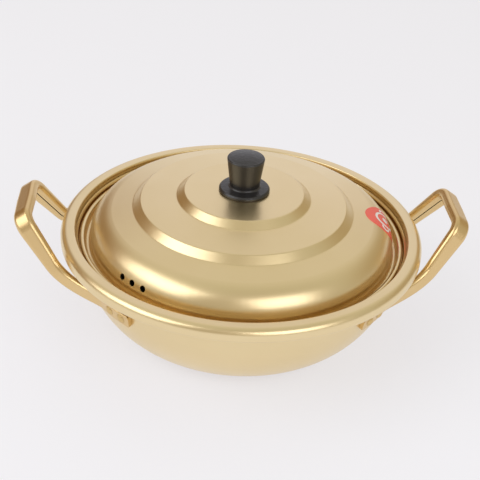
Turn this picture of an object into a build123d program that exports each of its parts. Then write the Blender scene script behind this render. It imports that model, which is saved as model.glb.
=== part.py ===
from build123d import *
import os
from math import asin, cos, degrees, radians, sin, sqrt, tan

# Wide shallow hot pot pan of spun aluminium sheet with a stepped lift-off lid.
# Frame: millimetres, +Z up, origin at the middle of the flat base, handles on -X and +X.
# A spun shell is given by one line of its section: points of (radius, height) from the axis
# outwards. Its sheet lies to the right of the line, and each of its bends has a fillet.

# Pan: the line is the surface that the food touches, from the base up to the rolled rim
pan_sheet = 1.5
rim_outer_radius = 108.75
rim_height = 63.7
rim_width = 10.35
rim_slope_run = 2.8
rim_slope_rise = 3.4
rim_slope_fillet = 2.3
rim_crown_fillet = 3.2
rim_skirt = 6.7
rim_curl_fillet = 1.9
rim_curl_return = 3.6
seat_depth = 6.6
seat_width = 2.2
seat_lip_fillet = 0.8
seat_corner_fillet = 0.8
wall_lean = 10.0
bowl_width = 36.7
bowl_slope = 22.0
bowl_straight = 1.0
base_edge_fillet = 10.0

# Lid: the line is its outer surface, from the knob down to the turned-down brim on the seat
lid_sheet = 1.0
lid_edge_clearance = 1.0
brim_height = 2.6
brim_width = 2.75
brim_fillet = 1.2
groove_width = 3.45
groove_depth = 5.0
groove_fillet = 1.5
shoulder_width = 25.2
shoulder_slope = 12.0
shoulder_fillet = 16.0
step_run = 4.4
step_fillet = 1.3
outer_step_height = 20.8
outer_step_rise = 4.3
terrace_width = 21.6
terrace_rise = 2.4
inner_step_rise = 3.9
lid_top_rise = 0.5

# Steam vents through the lid's shoulder
vent_count = 3
vent_diameter = 3.8
vent_pitch = 8.2
vent_height = 7.0
vent_direction = 224.7

# Knob, moulded in one piece round a threaded insert
knob_height = 21.6
knob_flange_radius = 15.1
knob_flange_edge = 1.4
knob_flange_round = 0.4
knob_bevel_run = 0.9
knob_bevel_rise = 0.9
knob_flange_slope = 0.6
knob_neck_radius = 8.7
knob_neck_fillet = 1.2
knob_cap_radius = 11.2
knob_cap_fillet = 0.9
knob_crown_radius = 10.0
knob_crown_rise = 1.2
knob_seat_margin = 1.8

# Insert in the knob, and the screw and washer that hold the knob from inside the lid
thread_radius = 2.0
thread_clearance = 0.05
hole_clearance = 0.25
insert_wall = 1.5
insert_length = 12.0
insert_headroom = 1.0
screw_length = 11.0
screw_head_radius = 4.0
screw_head_height = 2.6
screw_head_fillet = 0.9
screw_slot_width = 1.0
screw_slot_depth = 1.2
washer_width = 4.5
washer_thickness = 1.0

# Round sticker on the lid's shoulder, above the right-hand handle
sticker_radius = 13.0
sticker_thickness = 0.2
sticker_arc = 9.5
sticker_direction = -2.5

# Handle: sheet folded into a flattened tube with an open seam, and bent into a loop
handle_sheet = 1.2
grip_overhang = 19.9
grip_rise = 14.3
grip_width = 11.6
grip_thickness = 6.4
leg_top_width = 10.8
leg_bottom_width = 8.8
leg_bottom_thickness = 5.6
corner_half_span = 21.3
corner_fillet = 9.0
leg_overhang = 3.4
leg_drop = 3.0
leg_half_span = 29.6
tube_corner = 2.5
seam_gap = 0.6

# Foot: the tube's end, pressed flat and bent round against the pan's wall
foot_drop = 14.4
foot_width = 8.4
foot_start_angle = 33.0
foot_length = 24.6
foot_end_round = 2.2
foot_corner = 1.0
foot_lead_in = 15.0
foot_lead_out = 6.0
foot_stations = 8
foot_void_stations = 5

# Rivets, two through each foot
rivet_pitch = 10.2
rivet_end_margin = 6.6
rivet_shank_radius = 2.0
rivet_clearance = 0.05
rivet_head_radius = 3.0
rivet_head_height = 1.3
rivet_upset_radius = 3.2
rivet_upset_height = 1.0


def parallel(points, fillets, distance):
    """The filleted line that runs at a distance to the right of another."""
    corners = [Vector(*point) for point in points]
    steps = [(end - start).normalized() for start, end in zip(corners, corners[1:])]
    rights = [Vector(step.Y, -step.X) for step in steps]
    moved = [corners[0] + rights[0] * distance]
    radii = []
    for corner, before, after, fillet_radius in zip(corners[1:], rights, rights[1:], fillets):
        moved.append(corner + (before + after) * (distance / (1 + before.dot(after))))
        turns_left = before.cross(after).Z > 0
        radii.append(max(fillet_radius + (distance if turns_left else -distance), 0))
    moved.append(corners[-1] + rights[-1] * distance)
    return FilletPolyline(*moved, radius=radii)


def spun_sheet(points, fillets, sheet):
    """Revolve the sheet between a section line and its parallel."""
    line = parallel(points, fillets, 0)
    back = parallel(points, fillets, sheet)
    ends = [Line(line @ 0, back @ 0), Line(line @ 1, back @ 1)]
    section = make_face([*line.edges(), *back.edges(), *ends])
    return revolve(Plane.XZ * section, Axis.Z)


def bar(radius, bottom, top):
    """An upright round bar on the axis."""
    upright = Cylinder(radius, top - bottom, align=(Align.CENTER, Align.CENTER, Align.MIN))
    return Pos(0, 0, bottom) * upright


# Pan: the bowl's slope and the leaning wall meet in one wide bend
skirt_bottom = rim_height - rim_skirt
seat_height = rim_height - seat_depth
seat_outer_radius = rim_outer_radius - rim_width
seat_inner_radius = seat_outer_radius - seat_width
base_radius = seat_inner_radius - bowl_width
lean = tan(radians(wall_lean))
slope = tan(radians(bowl_slope))
bend_height = (pan_sheet + slope * (bowl_width - seat_height * lean)) / (1 - slope * lean)
bend_radius = seat_inner_radius - (seat_height - bend_height) * lean
slope_length = (bend_radius - base_radius) / cos(radians(bowl_slope))
base_bend = base_edge_fillet * tan(radians(bowl_slope) / 2)
bowl_turn = radians(90 - wall_lean - bowl_slope)
bend_reach = slope_length - base_bend - bowl_straight
bowl_fillet = bend_reach / tan(bowl_turn / 2)

pan_points = [
    (0, pan_sheet),
    (base_radius, pan_sheet),
    (bend_radius, bend_height),
    (seat_inner_radius, seat_height),
    (seat_outer_radius, seat_height),
    (seat_outer_radius, rim_height - rim_slope_rise),
    (seat_outer_radius + rim_slope_run, rim_height),
    (rim_outer_radius, rim_height),
    (rim_outer_radius, skirt_bottom),
    (rim_outer_radius - rim_curl_return, skirt_bottom),
]
pan_fillets = [
    base_edge_fillet,
    bowl_fillet,
    seat_lip_fillet,
    seat_corner_fillet,
    rim_slope_fillet,
    rim_slope_fillet,
    rim_crown_fillet,
    rim_curl_fillet,
]
pan_body = spun_sheet(pan_points, pan_fillets, pan_sheet)

# Lid: knob flat, inner step, terrace, outer step, shoulder, groove and channelled brim
brim_outer = seat_outer_radius - lid_edge_clearance
brim_inner = brim_outer - brim_width
brim_top = seat_height + brim_height
side_radius = brim_inner - groove_width
groove_bottom = brim_top - groove_depth
outer_step_radius = side_radius - shoulder_width
outer_step_z = seat_height + outer_step_height
shoulder_z = outer_step_z - shoulder_width * tan(radians(shoulder_slope))
terrace_edge = outer_step_radius - step_run
terrace_z = outer_step_z + outer_step_rise
inner_step_radius = terrace_edge - terrace_width
inner_step_z = terrace_z + terrace_rise
plateau_edge = inner_step_radius - step_run
plateau_z = inner_step_z + inner_step_rise
lid_top = plateau_z + lid_top_rise
lid_under = lid_top - lid_sheet

shoulder_points = [
    (outer_step_radius, outer_step_z),
    (side_radius, shoulder_z),
    (side_radius, groove_bottom),
]
lid_points = [
    (0, lid_top),
    (knob_flange_radius + knob_seat_margin, lid_top),
    (plateau_edge, plateau_z),
    (inner_step_radius, inner_step_z),
    (terrace_edge, terrace_z),
    *shoulder_points,
    (brim_inner, groove_bottom),
    (brim_inner, brim_top),
    (brim_outer, brim_top),
    (brim_outer, seat_height),
]
lid_fillets = [
    step_fillet,
    step_fillet,
    step_fillet,
    step_fillet,
    step_fillet,
    shoulder_fillet,
    groove_fillet,
    groove_fillet,
    brim_fillet,
    brim_fillet,
]
lid_shell = spun_sheet(lid_points, lid_fillets, lid_sheet)

# The shoulder's bend is an arc about this centre, where vents and sticker face away from it
shoulder_turn = 90 - shoulder_slope
shoulder_centre = Pos(
    side_radius - shoulder_fillet,
    0,
    shoulder_z - shoulder_fillet * tan(radians(shoulder_turn) / 2),
)


def on_shoulder(tool, elevation, direction):
    """Turn an upright tool outwards on the shoulder, at an elevation and a direction."""
    return Rot(0, 0, direction) * shoulder_centre * Rot(0, 90 - elevation, 0) * tool


vent_z = seat_height + vent_height
vent_elevation = degrees(asin((vent_z - shoulder_centre.position.Z) / shoulder_fillet))
vent_reach = shoulder_centre.position.X + shoulder_fillet * cos(radians(vent_elevation))
vent_step = degrees(vent_pitch / vent_reach)
drill = bar(vent_diameter / 2, shoulder_fillet / 2, 2 * shoulder_fillet)
for number in range(vent_count):
    direction = vent_direction + (number - (vent_count - 1) / 2) * vent_step
    lid_shell -= on_shoulder(drill, vent_elevation, direction)
screw_hole_radius = thread_radius + hole_clearance
lid_shell -= bar(screw_hole_radius, lid_under, lid_top)

# Sticker: a disc of the shoulder's own curve, cut from a thin skin over the lid
sticker_skin = spun_sheet(shoulder_points, [shoulder_fillet], -sticker_thickness)
sticker_elevation = shoulder_turn - degrees(sticker_arc / shoulder_fillet)
sticker_cutter = bar(sticker_radius, shoulder_fillet / 2, 2 * shoulder_fillet)
size_sticker = sticker_skin & on_shoulder(sticker_cutter, sticker_elevation, sticker_direction)

# Knob: flat flange with a bevelled edge, narrow neck, and a stem that widens to the cap
flange_top = lid_top + knob_flange_edge + knob_bevel_rise
knob_outline = FilletPolyline(
    (0, lid_top),
    (knob_flange_radius, lid_top),
    (knob_flange_radius, lid_top + knob_flange_edge),
    (knob_flange_radius - knob_bevel_run, flange_top),
    (knob_neck_radius, flange_top + knob_flange_slope),
    (knob_cap_radius, lid_top + knob_height),
    (knob_crown_radius, lid_top + knob_height),
    radius=[
        knob_flange_round,
        knob_flange_round,
        knob_flange_round,
        knob_neck_fillet,
        knob_cap_fillet,
    ],
)
crown_top = lid_top + knob_height + knob_crown_rise
knob_crown = TangentArc((0, crown_top), knob_outline @ 1, tangent=(1, 0))
knob_middle = Line((0, crown_top), (0, lid_top))
knob_section = make_face([*knob_outline.edges(), knob_crown, knob_middle])
knob = revolve(Plane.XZ * knob_section, Axis.Z)

bore_radius = thread_radius + thread_clearance
insert_radius = bore_radius + insert_wall
insert_top = lid_top + insert_length
knob -= bar(insert_radius, lid_top, insert_top)
knob -= bar(bore_radius, lid_top, insert_top + insert_headroom)
knob_insert = bar(insert_radius, lid_top, insert_top) - bar(bore_radius, lid_top, insert_top)

# Washer under the lid, and the slotted screw through it into the insert
washer_under = lid_under - washer_thickness
knob_washer = bar(screw_hole_radius + washer_width, washer_under, lid_under)
knob_washer -= bar(screw_hole_radius, washer_under, lid_under)

head_under = washer_under - screw_head_height
screw_head = bar(screw_head_radius, head_under, washer_under)
screw_head = fillet(screw_head.edges().group_by(Axis.Z)[0], screw_head_fillet)
knob_screw = screw_head + bar(thread_radius, washer_under, washer_under + screw_length)
screw_slot = Box(2 * screw_head_radius, screw_slot_width, 2 * screw_slot_depth)
knob_screw -= Pos(0, 0, head_under) * screw_slot

# Handle's loop plane, which holds the grip and both legs
leg_bottom = Vector(rim_outer_radius + leg_overhang, leg_half_span, skirt_bottom - leg_drop)
corner = Vector(rim_outer_radius + grip_overhang, corner_half_span, rim_height + grip_rise)
leg_axis = (corner - leg_bottom).normalized()
grip_axis = Vector(0, -1, 0)
loop_normal = leg_axis.cross(grip_axis).normalized()
leg_out = leg_axis.cross(loop_normal)
grip_out = grip_axis.cross(loop_normal)
corner_turn = radians(leg_axis.get_angle(grip_axis))
corner_run = corner_fillet * tan(corner_turn / 2)
leg_top = corner - leg_axis * corner_run
grip_start = corner + grip_axis * corner_run
corner_axis = Axis(leg_top - leg_out * corner_fillet, loop_normal)

bottom_plane = Plane(leg_bottom, x_dir=leg_out, z_dir=leg_axis)
top_plane = Plane(leg_top, x_dir=leg_out, z_dir=leg_axis)
start_plane = Plane(grip_start, x_dir=grip_out, z_dir=grip_axis)
middle_plane = Plane(grip_start + grip_axis * grip_start.Y, x_dir=grip_out, z_dir=grip_axis)


def tube(thickness, width, corner_round, inset):
    """Outline of the flattened tube, or of its hollow at one sheet further in."""
    return RectangleRounded(thickness - 2 * inset, width - 2 * inset, corner_round - inset)


def seam(thickness):
    """Outline of the cut that opens the tube along the middle of its inner face."""
    return Pos(handle_sheet / 2 - thickness / 2, 0) * Rectangle(2 * handle_sheet, seam_gap)


def half_loop(bottom, top, middle):
    """One leg, its bend and half of the grip, from outlines of their ends."""
    leg = loft([bottom_plane * bottom, top_plane * top])
    bend = revolve(top_plane * top, corner_axis, degrees(corner_turn))
    half_grip = loft([start_plane * top, middle_plane * middle])
    return leg + bend + half_grip


# Foot's path: from the leg's bottom, under the rim, to the wall at the foot's start
foot_thickness = 2 * handle_sheet
foot_height = seat_height - foot_drop

# Outer face of the wall at the foot's height: on the bowl's wide bend, or straight above it
bend_wall = Vector(sin(radians(wall_lean)), cos(radians(wall_lean)))
bend_centre = Vector(bend_radius, bend_height) + bend_wall * bend_reach
bend_centre += Vector(-bend_wall.Y, bend_wall.X) * bowl_fillet
outer_bend = bowl_fillet + pan_sheet
foot_lean = max(wall_lean, degrees(asin((bend_centre.Y - foot_height) / outer_bend)))
straight_rise = foot_height - bend_centre.Y + outer_bend * sin(radians(foot_lean))
wall_radius = (
    bend_centre.X + outer_bend * cos(radians(foot_lean)) + straight_rise * tan(radians(foot_lean))
)


def on_wall(direction, outwards):
    """Plane on the pan's wall at the foot's height: x along the wall, y up it, z out of it."""
    radial = Vector(1, 0, 0).rotate(Axis.Z, direction)
    along = Vector(0, 1, 0).rotate(Axis.Z, direction)
    normal = radial * cos(radians(foot_lean)) - Vector(0, 0, sin(radians(foot_lean)))
    point = radial * wall_radius + Vector(0, 0, foot_height)
    return Plane(point + normal * outwards, x_dir=along, z_dir=normal)


foot_plane = on_wall(foot_start_angle, foot_thickness / 2)
foot_path = Bezier(
    leg_bottom,
    leg_bottom - leg_axis * foot_lead_in,
    foot_plane.origin - foot_plane.x_dir * foot_lead_out,
    foot_plane.origin,
)


def foot_station(number, outline):
    """An outline across the foot's path, turned from the leg's way of facing to the wall's."""
    share = number / (foot_stations - 1)
    along = foot_path % share
    facing = leg_out * (1 - share) + foot_plane.z_dir * share
    facing = facing - along * facing.dot(along)
    return Plane(foot_path @ share, x_dir=facing, z_dir=along) * outline


def foot_shape(number):
    """Thickness, width and corner of the tube at a station of the foot."""
    share = number / (foot_stations - 1)
    thickness = leg_bottom_thickness + (foot_thickness - leg_bottom_thickness) * share
    width = leg_bottom_width + (foot_width - leg_bottom_width) * share
    corner_round = tube_corner + (foot_corner - tube_corner) * share
    return thickness, width, corner_round


def foot_loft(stations, inset):
    """The foot's solid, or its hollow, through the first so many stations."""
    outlines = [foot_station(number, tube(*foot_shape(number), inset)) for number in range(stations)]
    return loft(outlines)


# Right-hand handle, half first, hollow and open along the seam down to its flattened feet
half_handle = foot_loft(foot_stations, 0) + half_loop(
    tube(leg_bottom_thickness, leg_bottom_width, tube_corner, 0),
    tube(grip_thickness, leg_top_width, tube_corner, 0),
    tube(grip_thickness, grip_width, tube_corner, 0),
)
half_handle -= half_loop(
    tube(leg_bottom_thickness, leg_bottom_width, tube_corner, handle_sheet),
    tube(grip_thickness, leg_top_width, tube_corner, handle_sheet),
    tube(grip_thickness, grip_width, tube_corner, handle_sheet),
)
half_handle -= foot_loft(foot_void_stations, handle_sheet)
half_handle -= half_loop(seam(leg_bottom_thickness), seam(grip_thickness), seam(grip_thickness))
half_handle -= loft([
    foot_station(number, seam(foot_shape(number)[0])) for number in range(foot_void_stations)
])

# Flat end of the foot, wrapped on the wall and rounded at its outer corners
pad_radius = wall_radius + foot_thickness
foot_turn = degrees(foot_length / pad_radius)
pad_start = foot_station(foot_stations - 1, tube(*foot_shape(foot_stations - 1), 0))
pad = revolve(pad_start, Axis.Z, foot_turn)
end_plane = on_wall(foot_start_angle + foot_turn, 0)
end_square = Rectangle(2 * foot_end_round, 2 * foot_end_round)
end_circle = Pos(-foot_end_round, -foot_end_round) * Circle(foot_end_round)
for quarter in (end_square - end_circle, mirror(end_square - end_circle, Plane.XZ)):
    edge = foot_width / 2 if quarter.center().Y > 0 else -foot_width / 2
    pad -= extrude(end_plane * Pos(0, edge) * quarter, 2 * foot_thickness, both=True)
half_handle += pad

# Rivet through the wall: domed head outside, shank, and low upset head on the inner wall
upset_rise = bowl_fillet - sqrt(bowl_fillet**2 - rivet_upset_radius**2)
upset_seat = -pan_sheet - upset_rise
upset_bottom = upset_seat - rivet_upset_height
head_top = foot_thickness + rivet_head_height
rivet_shoulders = Polyline(
    (rivet_head_radius, foot_thickness),
    (rivet_shank_radius, foot_thickness),
    (rivet_shank_radius, upset_seat),
    (rivet_upset_radius, upset_seat),
)
rivet_section = make_face([
    TangentArc((0, head_top), rivet_shoulders @ 0, tangent=(1, 0)),
    *rivet_shoulders.edges(),
    TangentArc((0, upset_bottom), rivet_shoulders @ 1, tangent=(1, 0)),
    Line((0, upset_bottom), (0, head_top)),
])
rivet = revolve(Plane.XZ * rivet_section, Axis.Z)
rivet_hole = Cylinder(rivet_shank_radius + rivet_clearance, 4 * foot_thickness)

far_angle = foot_start_angle + foot_turn - degrees(rivet_end_margin / pad_radius)
rivet_angles = {"far": far_angle, "near": far_angle - degrees(rivet_pitch / pad_radius)}
for angle in rivet_angles.values():
    half_handle -= on_wall(angle, 0).location * rivet_hole

handle_right = half_handle + mirror(half_handle, Plane.XZ)

parts = {
    "pan_body": pan_body,
    "lid_shell": lid_shell,
    "knob": knob,
    "knob_insert": knob_insert,
    "knob_screw": knob_screw,
    "knob_washer": knob_washer,
    "size_sticker": size_sticker,
    "handle_right": handle_right,
    "handle_left": Rot(0, 0, 180) * handle_right,
}

# Each handle has a foot in front and one behind, seen from the front of the pan
foot_sides = {
    "right_rear": (0, 1),
    "right_front": (0, -1),
    "left_front": (180, 1),
    "left_rear": (180, -1),
}
for foot, (handle_direction, side) in foot_sides.items():
    for place, angle in rivet_angles.items():
        spot = on_wall(handle_direction + side * angle, 0).location
        pan_body -= spot * rivet_hole
        parts[f"rivet_{foot}_{place}"] = spot * rivet
parts["pan_body"] = pan_body

os.makedirs("parts", exist_ok=True)
for name, part in parts.items():
    export_step(part, f"parts/{name}.step")
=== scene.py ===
import math

import bpy
from mathutils import Matrix, Vector


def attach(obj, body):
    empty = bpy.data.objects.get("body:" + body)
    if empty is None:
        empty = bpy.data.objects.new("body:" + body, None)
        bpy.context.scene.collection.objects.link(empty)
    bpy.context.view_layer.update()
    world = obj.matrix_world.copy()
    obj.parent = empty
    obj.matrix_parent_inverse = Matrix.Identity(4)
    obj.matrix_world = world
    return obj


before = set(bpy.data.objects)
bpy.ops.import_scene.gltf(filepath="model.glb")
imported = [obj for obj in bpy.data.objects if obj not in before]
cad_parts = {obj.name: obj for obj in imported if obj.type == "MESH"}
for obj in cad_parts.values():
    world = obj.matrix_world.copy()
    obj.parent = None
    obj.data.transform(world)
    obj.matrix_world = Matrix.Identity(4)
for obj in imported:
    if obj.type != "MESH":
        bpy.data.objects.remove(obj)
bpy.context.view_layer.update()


# Pan: one disc of aluminium, spun over a former, with its rim rolled outwards and down.
# It is etched and anodised to a pale gold, so it has a fine satin grain and faint spinning
# lines round its axis, and mirrors the room only as soft patches.
def linear(hex_colour):
    """Linear colour of an sRGB hex value."""
    levels = [int(hex_colour[i : i + 2], 16) / 255 for i in (1, 3, 5)]
    shares = [c / 12.92 if c <= 0.04045 else ((c + 0.055) / 1.055) ** 2.4 for c in levels]
    return (*shares, 1.0)


def node(tree, kind, settings={}, inputs={}, links={}):
    """Add a node with its settings, its input values and the sockets that feed it."""
    made = tree.nodes.new(kind)
    for name, value in settings.items():
        setattr(made, name, value)
    for name, value in inputs.items():
        made.inputs[name].default_value = value
    for name, source in links.items():
        tree.links.new(source, made.inputs[name])
    return made


def new_material(name):
    """A new material and its node tree, which is empty."""
    material = bpy.data.materials.new(name)
    material.use_nodes = True
    material.node_tree.nodes.clear()
    return material, material.node_tree


satin_grain_mm = 0.35
spinning_line_mm = 1.1
spinning_line_depth = 0.00001
rings_in_one_scale = 20
stain_mm = 38.0
# Reach in millimetres of the painted shade that ambient occlusion lays in grooves and hollows.
painted_shade_reach_mm = 6.0


def anodised_aluminium(
    name, colour, dull_colour, roughness, line_depth, painted_shade_colour, unshaded_openness
):
    """Satin gold anodised aluminium, with spinning lines of a depth in metres round the axis.

    Its narrow grooves, hollows and the gaps between parts take a painted shade colour, found by
    ambient occlusion. A place that is open by the given share or more has no painted shade.
    """
    material, tree = new_material(name)
    place = node(tree, "ShaderNodeTexCoord").outputs["Object"]
    stain = node(
        tree,
        "ShaderNodeTexNoise",
        inputs={"Scale": 1000 / stain_mm, "Detail": 3.0, "Roughness": 0.55},
        links={"Vector": place},
    )
    tint = node(
        tree,
        "ShaderNodeMix",
        {"data_type": "RGBA"},
        {"A": linear(colour), "B": linear(dull_colour)},
        {"Factor": stain.outputs["Fac"]},
    )
    # Painted shade: ambient occlusion darkens grooves, hollows and gaps between parts towards the
    # painted shade colour.
    shade_occlusion = node(
        tree,
        "ShaderNodeAmbientOcclusion",
        {"samples": 8},
        {"Distance": painted_shade_reach_mm / 1000},
    )
    unshaded_share = node(
        tree,
        "ShaderNodeMapRange",
        {"interpolation_type": "SMOOTHSTEP"},
        {"From Min": 0.10, "From Max": unshaded_openness},
        {"Value": shade_occlusion.outputs["AO"]},
    )
    tint_with_painted_shade = node(
        tree,
        "ShaderNodeMix",
        {"data_type": "RGBA"},
        {"A": linear(painted_shade_colour)},
        {"Factor": unshaded_share.outputs["Result"], "B": tint.outputs["Result"]},
    )
    sheen = node(
        tree,
        "ShaderNodeMapRange",
        inputs={
            "From Min": 0.3,
            "From Max": 0.7,
            "To Min": roughness - 0.02,
            "To Max": roughness + 0.03,
        },
        links={"Value": stain.outputs["Fac"]},
    )
    grain = node(
        tree,
        "ShaderNodeTexNoise",
        inputs={"Scale": 1000 / satin_grain_mm, "Detail": 2.0},
        links={"Vector": place},
    )
    grain_bump = node(
        tree,
        "ShaderNodeBump",
        inputs={"Strength": 0.25, "Distance": 0.00003},
        links={"Height": grain.outputs["Fac"]},
    )
    flat_place = node(
        tree,
        "ShaderNodeVectorMath",
        {"operation": "MULTIPLY"},
        {1: (1.0, 1.0, 0.0)},
        {0: place},
    )
    turns = node(
        tree,
        "ShaderNodeTexWave",
        {"wave_type": "RINGS", "rings_direction": "SPHERICAL"},
        {
            "Scale": 1000 / spinning_line_mm / rings_in_one_scale,
            "Distortion": 0.6,
            "Detail": 2.0,
            "Detail Scale": 0.4,
        },
        {"Vector": flat_place.outputs["Vector"]},
    )
    line_bump = node(
        tree,
        "ShaderNodeBump",
        inputs={"Strength": 0.5, "Distance": line_depth},
        links={"Height": turns.outputs["Fac"], "Normal": grain_bump.outputs["Normal"]},
    )
    shader = node(
        tree,
        "ShaderNodeBsdfPrincipled",
        inputs={"Metallic": 1.0},
        links={
            "Base Color": tint_with_painted_shade.outputs["Result"],
            "Roughness": sheen.outputs["Result"],
            "Normal": line_bump.outputs["Normal"],
        },
    )
    node(tree, "ShaderNodeOutputMaterial", links={"Surface": shader.outputs["BSDF"]})
    return material


pan_finish = anodised_aluminium(
    "pan_anodised_aluminium",
    colour="#EFDBAF",
    dull_colour="#EBD6A7",
    roughness=0.30,
    line_depth=spinning_line_depth,
    # Painted shade colour, laid by ambient occlusion in the pan's hollows.
    painted_shade_colour="#C09A5C",
    unshaded_openness=0.85,
)


def dress(node_name, material):
    """Put a finish on a node of the model."""
    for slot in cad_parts[node_name].material_slots:
        slot.material = material


dress("pan_body", pan_finish)


# Crown of the rolled rim: the sheet turns up at the lid's seat, over in a full round and
# down to its curled edge. It is the pan's own sheet, so it has its finish, as a skin on the
# solid rim that closes inside that rim's sheet.
roll_height = 65.15
roll_reach = 108.8
roll_round = 4.1
lip_reach = 101.0
lip_round = 0.8
wall_foot = (99.3, 61.3)
rim_sheet_middle = [
    (108.0, 58.2),
    (108.0, 60.6),
    (107.3, 62.1),
    (105.8, 62.95),
    (101.7, 62.95),
    (99.7, 61.0),
]
skirt_foot = 58.95
curl_round = 1.95


def spun_skin(name, seen, hidden, material, body):
    """Spin a closed outline of (radius, height) in millimetres round the axis.

    Its seen part is smooth, and its hidden part closes it inside the sheet that it covers.
    """
    outline = [*seen, *hidden]
    segments = 256
    spots = []
    for number in range(segments):
        turn = 2 * math.pi * number / segments
        for reach, height in outline:
            spots.append((reach * math.cos(turn) / 1000, reach * math.sin(turn) / 1000, height / 1000))
    faces = []
    count = len(outline)
    for number in range(segments):
        after = (number + 1) % segments
        for place in range(count):
            beside = (place + 1) % count
            faces.append((
                number * count + place,
                number * count + beside,
                after * count + beside,
                after * count + place,
            ))
    mesh = bpy.data.meshes.new(name)
    mesh.from_pydata(spots, [], faces)
    smooth = [place < len(seen) - 1 for place in range(count)]
    mesh.polygons.foreach_set("use_smooth", smooth * segments)
    mesh.materials.append(material)
    piece = bpy.data.objects.new(name, mesh)
    bpy.context.scene.collection.objects.link(piece)
    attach(piece, body)


def arc(centre, radius, start, end, steps):
    """Points of an arc in a section, between two angles in degrees from outwards."""
    turns = [math.radians(start + (end - start) * number / steps) for number in range(steps + 1)]
    return [
        (centre[0] + radius * math.cos(turn), centre[1] + radius * math.sin(turn)) for turn in turns
    ]


rim_seen = [
    wall_foot,
    *arc((lip_reach, roll_height - lip_round), lip_round, 165, 90, 8),
    *arc((roll_reach - roll_round, roll_height - roll_round), roll_round, 90, 0, 16),
    *arc((roll_reach - curl_round, skirt_foot), curl_round, 0, -75, 6),
]
spun_skin("rim_crown", rim_seen, rim_sheet_middle, pan_finish, "pan")


# Handles: strip folded to a flattened tube, bent to a loop and pressed flat at its feet.
# The same anodised finish, a little deeper in colour, without spinning lines.
handle_finish = anodised_aluminium(
    "handle_anodised_aluminium",
    colour="#E8CD98",
    dull_colour="#E0C089",
    roughness=0.30,
    line_depth=0.0,
    # Painted shade colour, laid by ambient occlusion in the handle's hollows and where it meets the
    # pan.
    painted_shade_colour="#B98F4E",
    unshaded_openness=0.46,
)
for side in ("left", "right"):
    dress(f"handle_{side}", handle_finish)


# Rivets: soft aluminium, set through foot and wall before the pan is anodised.
# Their hammered heads are duller and a little darker than the sheet round them.
rivet_finish = anodised_aluminium(
    "rivet_anodised_aluminium",
    colour="#E3C890",
    dull_colour="#D6B67A",
    roughness=0.34,
    line_depth=0.0,
    # Painted shade colour, laid by ambient occlusion where the rivet heads sit close to the handle and
    # wall.
    painted_shade_colour="#B98F4E",
    unshaded_openness=0.46,
)
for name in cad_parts:
    if name.startswith("rivet_"):
        dress(name, rivet_finish)


# Lid: one thinner disc, spun with two steps, a shoulder, a groove and a turned-down brim.
# It has the pan's colour with a slightly duller sheen, and a lighter, narrower painted shade in its
# grooves.
lid_finish = anodised_aluminium(
    "lid_anodised_aluminium",
    colour="#EFDBAF",
    dull_colour="#EBD6A7",
    roughness=0.31,
    line_depth=spinning_line_depth,
    # Painted shade colour, laid by ambient occlusion in the lid's groove and steps.
    painted_shade_colour="#CCA464",
    unshaded_openness=0.40,
)
dress("lid_shell", lid_finish)


# Knob: black phenolic resin, pressed in a hot mould round its brass insert.
# It is dense and slightly glossy, with a pebbled skin on its crown and a smooth stem.
pebble_mm = 2.4
knob_finish, tree = new_material("knob_moulded_phenolic")
place = node(tree, "ShaderNodeTexCoord").outputs["Object"]
pebbles = node(
    tree,
    "ShaderNodeTexNoise",
    inputs={"Scale": 1000 / pebble_mm, "Detail": 3.0, "Roughness": 0.6},
    links={"Vector": place},
)
facing = node(tree, "ShaderNodeNewGeometry").outputs["Normal"]
upward = node(tree, "ShaderNodeSeparateXYZ", links={"Vector": facing}).outputs["Z"]
crown_share = node(
    tree,
    "ShaderNodeMapRange",
    inputs={"From Min": 0.5, "From Max": 0.9, "To Min": 0.1, "To Max": 0.9},
    links={"Value": upward},
)
pebble_bump = node(
    tree,
    "ShaderNodeBump",
    inputs={"Distance": 0.0003},
    links={"Height": pebbles.outputs["Fac"], "Strength": crown_share.outputs["Result"]},
)
blush = node(
    tree,
    "ShaderNodeMix",
    {"data_type": "RGBA"},
    {"A": linear("#1B1A1B"), "B": linear("#262425")},
    {"Factor": pebbles.outputs["Fac"]},
)
shader = node(
    tree,
    "ShaderNodeBsdfPrincipled",
    inputs={"Roughness": 0.33, "IOR": 1.6},
    links={"Base Color": blush.outputs["Result"], "Normal": pebble_bump.outputs["Normal"]},
)
node(tree, "ShaderNodeOutputMaterial", links={"Surface": shader.outputs["BSDF"]})
dress("knob", knob_finish)


# Knob's fixing under the lid: turned brass insert, zinc-plated screw and washer.
# Turned and rolled metal has fine lines and a duller shine than the anodised sheet.
def plain_metal(name, colour, dark_colour, roughness, mark_mm):
    """Small metal part with tool marks of a size in millimetres."""
    material, tree = new_material(name)
    place = node(tree, "ShaderNodeTexCoord").outputs["Object"]
    marks = node(
        tree,
        "ShaderNodeTexNoise",
        inputs={"Scale": 1000 / mark_mm, "Detail": 4.0},
        links={"Vector": place},
    )
    tone = node(
        tree,
        "ShaderNodeMix",
        {"data_type": "RGBA"},
        {"A": linear(colour), "B": linear(dark_colour)},
        {"Factor": marks.outputs["Fac"]},
    )
    bump = node(
        tree,
        "ShaderNodeBump",
        inputs={"Strength": 0.3, "Distance": 0.00004},
        links={"Height": marks.outputs["Fac"]},
    )
    shader = node(
        tree,
        "ShaderNodeBsdfPrincipled",
        inputs={"Metallic": 1.0, "Roughness": roughness},
        links={"Base Color": tone.outputs["Result"], "Normal": bump.outputs["Normal"]},
    )
    node(tree, "ShaderNodeOutputMaterial", links={"Surface": shader.outputs["BSDF"]})
    return material


zinc_plate = plain_metal("zinc_plated_steel", "#C6C8CC", "#A9ACB2", 0.36, 0.8)
dress("knob_screw", zinc_plate)
dress("knob_washer", zinc_plate)
dress("knob_insert", plain_metal("turned_brass", "#D9B566", "#C49C4C", 0.32, 0.5))


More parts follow.
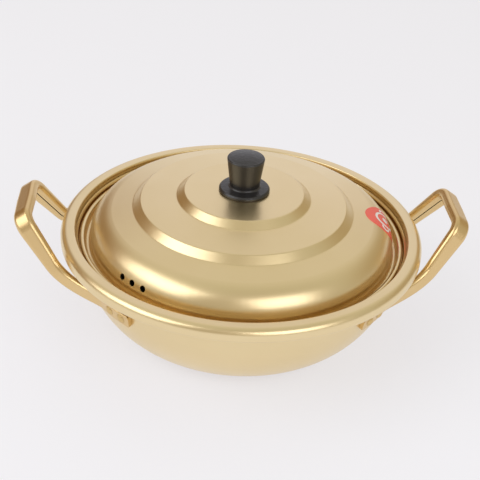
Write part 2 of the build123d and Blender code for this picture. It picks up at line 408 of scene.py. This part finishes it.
# Sticker: red vinyl film on the lid's shoulder, above the right-hand handle.
# It is smooth and has a soft shine, with a slightly uneven red.
fade_mm = 6.0
film_finish, tree = new_material("red_vinyl_film")
place = node(tree, "ShaderNodeTexCoord").outputs["Object"]
fade = node(
    tree,
    "ShaderNodeTexNoise",
    inputs={"Scale": 1000 / fade_mm, "Detail": 3.0},
    links={"Vector": place},
)
red = node(
    tree,
    "ShaderNodeMix",
    {"data_type": "RGBA"},
    {"A": linear("#F96A58"), "B": linear("#F06454")},
    {"Factor": fade.outputs["Fac"]},
)
shader = node(
    tree,
    "ShaderNodeBsdfPrincipled",
    inputs={"Roughness": 0.38, "IOR": 1.5},
    links={"Base Color": red.outputs["Result"]},
)
node(tree, "ShaderNodeOutputMaterial", links={"Surface": shader.outputs["BSDF"]})
dress("size_sticker", film_finish)


# Print on the sticker: a plain white pan seen from above, screen printed as matt ink.
# Each band of ink lies on the film's curve, which is the bend of the lid's shoulder.
screen_mm = 0.6
ink_finish, tree = new_material("white_screen_ink")
place = node(tree, "ShaderNodeTexCoord").outputs["Object"]
mesh_marks = node(
    tree,
    "ShaderNodeTexNoise",
    inputs={"Scale": 1000 / screen_mm, "Detail": 2.0},
    links={"Vector": place},
)
cover = node(
    tree,
    "ShaderNodeMix",
    {"data_type": "RGBA"},
    {"A": linear("#F7F3F1"), "B": linear("#EFE6E3")},
    {"Factor": mesh_marks.outputs["Fac"]},
)
shader = node(
    tree,
    "ShaderNodeBsdfPrincipled",
    inputs={"Roughness": 0.5, "IOR": 1.5},
    links={"Base Color": cover.outputs["Result"]},
)
node(tree, "ShaderNodeOutputMaterial", links={"Surface": shader.outputs["BSDF"]})

bend_reach = 75.2
bend_height = 59.59
bend_round = 16.0
film_thickness = 0.2
ink_thickness = 0.03
ink_round = bend_round + film_thickness + ink_thickness
shoulder_turn = 78.0
sticker_arc = 9.5
sticker_elevation = shoulder_turn - math.degrees(sticker_arc / bend_round)
sticker_azimuth = -2.5


def on_sticker(across, down):
    """Place of a point of the print, by its millimetres across and down from the middle."""
    rise = math.radians(sticker_elevation) - down / ink_round
    reach = bend_reach + ink_round * math.cos(rise)
    turn = math.radians(sticker_azimuth) - across / reach
    height = bend_height + ink_round * math.sin(rise)
    return (reach * math.cos(turn) / 1000, reach * math.sin(turn) / 1000, height / 1000)


def ink_band(name, middle, inner, outer, start, end):
    """A flat band of ink round a middle, from one angle to another in degrees."""
    steps = 48
    spots = []
    for number in range(steps + 1):
        turn = math.radians(start + (end - start) * number / steps)
        for radius in (inner, (inner + outer) / 2, outer):
            spots.append(on_sticker(
                middle[0] + radius * math.cos(turn), middle[1] + radius * math.sin(turn)
            ))
    faces = []
    for number in range(steps):
        for place in (0, 1):
            low = 3 * number + place
            faces.append((low, low + 1, low + 4, low + 3))
    mesh = bpy.data.meshes.new(name)
    mesh.from_pydata(spots, [], faces)
    mesh.polygons.foreach_set("use_smooth", [True] * len(mesh.polygons))
    mesh.materials.append(ink_finish)
    piece = bpy.data.objects.new(name, mesh)
    bpy.context.scene.collection.objects.link(piece)
    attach(piece, "lid")


print_down = -0.8
handle_across = 8.2
ink_band("print_pan_rim", (0.0, print_down), 5.7, 7.3, 0, 360)
ink_band("print_lid_knob", (0.0, print_down), 0.3, 2.2, 0, 360)
ink_band("print_handle_front", (handle_across, print_down), 1.8, 3.2, -110, 110)
ink_band("print_handle_rear", (-handle_across, print_down), 1.8, 3.2, 70, 290)


# Floor: a wide pale table of matt card, on which the pan casts soft shadows.
# The camera and the metal see part of it as one even colour, and the rest as lit card.
floor_reach = 6.0
glow_share = 0.62
floor_mesh = bpy.data.meshes.new("studio_table")
floor_mesh.from_pydata(
    [
        (-floor_reach, -floor_reach, 0),
        (floor_reach, -floor_reach, 0),
        (floor_reach, floor_reach, 0),
        (-floor_reach, floor_reach, 0),
    ],
    [],
    [(0, 1, 2, 3)],
)
floor = bpy.data.objects.new("studio_table", floor_mesh)
bpy.context.scene.collection.objects.link(floor)
table_finish, tree = new_material("matt_white_table")
matt = node(
    tree,
    "ShaderNodeBsdfPrincipled",
    inputs={"Base Color": linear("#EEEFF6"), "Roughness": 0.7},
)
glow = node(tree, "ShaderNodeEmission", inputs={"Color": linear("#FCFBFF")})
path = node(tree, "ShaderNodeLightPath")
seen = node(
    tree,
    "ShaderNodeMath",
    {"operation": "MAXIMUM"},
    links={0: path.outputs["Is Camera Ray"], 1: path.outputs["Is Glossy Ray"]},
)
share = node(
    tree,
    "ShaderNodeMath",
    {"operation": "MULTIPLY"},
    {1: glow_share},
    {0: seen.outputs["Value"]},
)
table = node(
    tree,
    "ShaderNodeMixShader",
    links={0: share.outputs["Value"], 1: matt.outputs["BSDF"], 2: glow.outputs["Emission"]},
)
node(tree, "ShaderNodeOutputMaterial", links={"Surface": table.outputs["Shader"]})
floor_mesh.materials.append(table_finish)


# Light: a pale studio room that is darker behind the camera, with a brown screen at the rear
# left and a paler one at the rear right, and two large soft lamps, at the left and in front.
world = bpy.data.worlds.new("studio_room")
bpy.context.scene.world = world
world.use_nodes = True
world.node_tree.nodes.clear()
direction = node(world.node_tree, "ShaderNodeTexCoord").outputs["Generated"]


def towards(azimuth, elevation, inner_angle, outer_angle):
    """Share of the room round a direction: 1 within the inner angle, 0 past the outer one."""
    flat = math.cos(math.radians(elevation))
    aim = (
        flat * math.cos(math.radians(azimuth)),
        flat * math.sin(math.radians(azimuth)),
        math.sin(math.radians(elevation)),
    )
    near = node(
        world.node_tree,
        "ShaderNodeVectorMath",
        {"operation": "DOT_PRODUCT"},
        {1: aim},
        {0: direction},
    )
    edges = {
        "From Min": math.cos(math.radians(outer_angle)),
        "From Max": math.cos(math.radians(inner_angle)),
    }
    share = node(
        world.node_tree,
        "ShaderNodeMapRange",
        {"interpolation_type": "SMOOTHSTEP"},
        edges,
        {"Value": near.outputs["Value"]},
    )
    return share.outputs["Result"]


depth = node(world.node_tree, "ShaderNodeSeparateXYZ", links={"Vector": direction}).outputs["Y"]
away = node(
    world.node_tree,
    "ShaderNodeMapRange",
    inputs={"From Min": -1.0, "From Max": 1.0},
    links={"Value": depth},
)
walls = node(world.node_tree, "ShaderNodeValToRGB", links={"Fac": away.outputs["Result"]})
room_colours = (
    (0.0, "#C4BBAA"),
    (0.12, "#B5AC9C"),
    (0.50, "#CECBBC"),
    (0.80, "#E1DDD4"),
    (0.93, "#ECE8F0"),
    (1.0, "#F1F0F6"),
)
steps = walls.color_ramp.elements
for room_share, colour in room_colours[1:-1]:
    steps.new(room_share)
for step, (room_share, colour) in zip(steps, room_colours):
    step.color = linear(colour)
room = walls.outputs["Color"]
screens = (
    ("#94754C", towards(142, 5, 20, 50)),
    ("#B7A78A", towards(30, 5, 15, 45)),
)
for colour, screen_share in screens:
    shaded = node(
        world.node_tree,
        "ShaderNodeMix",
        {"data_type": "RGBA"},
        {"B": linear(colour)},
        {"Factor": screen_share, "A": room},
    )
    room = shaded.outputs["Result"]
seen = node(world.node_tree, "ShaderNodeLightPath").outputs["Is Camera Ray"]
backdrop = node(
    world.node_tree,
    "ShaderNodeMix",
    {"data_type": "RGBA"},
    {"B": linear("#EEEDF2")},
    {"Factor": seen, "A": room},
)
background = node(
    world.node_tree,
    "ShaderNodeBackground",
    links={"Color": backdrop.outputs["Result"]},
)
node(world.node_tree, "ShaderNodeOutputWorld", links={"Surface": background.outputs["Background"]})


lamp_distance = 1.5
lamp_aim_height = 0.06
lamp_radiance = 1.95
lamp_colour = "#F3F5FF"


def soft_lamp(name, azimuth, elevation, width, height):
    """An area lamp that looks at the pan from a direction, with sizes in metres."""
    lamp = bpy.data.lights.new(name, "AREA")
    lamp.shape = "RECTANGLE"
    lamp.size = width
    lamp.size_y = height
    lamp.energy = lamp_radiance * math.pi * width * height
    lamp.color = linear(lamp_colour)[:3]
    holder = bpy.data.objects.new(name, lamp)
    flat = math.cos(math.radians(elevation))
    aim = Vector((
        flat * math.cos(math.radians(azimuth)),
        flat * math.sin(math.radians(azimuth)),
        math.sin(math.radians(elevation)),
    ))
    holder.location = aim * lamp_distance + Vector((0, 0, lamp_aim_height))
    holder.rotation_euler = aim.to_track_quat("Z", "Y").to_euler()
    bpy.context.scene.collection.objects.link(holder)


soft_lamp("left_softbox", -161, 38, 1.35, 1.00)
soft_lamp("front_softbox", -62, 31, 1.00, 0.95)


# Camera: the photograph's view, from the front and a little to the left, slightly tilted.
eye = Vector((-0.04699, -0.55449, 0.3983))
looking = Vector((0.0712, 0.8467, -0.5273)).normalized()
level_right = Vector((0.99649, -0.08376, 0.0)).normalized()
level_up = level_right.cross(looking)
tilt = math.radians(3.5232)
camera_right = level_right * math.cos(tilt) + level_up * math.sin(tilt)
camera_up = level_up * math.cos(tilt) - level_right * math.sin(tilt)
camera_data = bpy.data.cameras.new("photograph_view")
camera_data.sensor_width = 36.0
camera_data.lens = 80.27
picture_width = 480
camera_data.shift_x = -0.5 / picture_width
camera_data.shift_y = 1.0 / picture_width
camera = bpy.data.objects.new("photograph_view", camera_data)
turn = Matrix((camera_right, camera_up, -looking)).transposed()
camera.matrix_world = Matrix.Translation(eye) @ turn.to_4x4()
bpy.context.scene.collection.objects.link(camera)
bpy.context.scene.camera = camera
bpy.context.scene.view_settings.view_transform = "Standard"
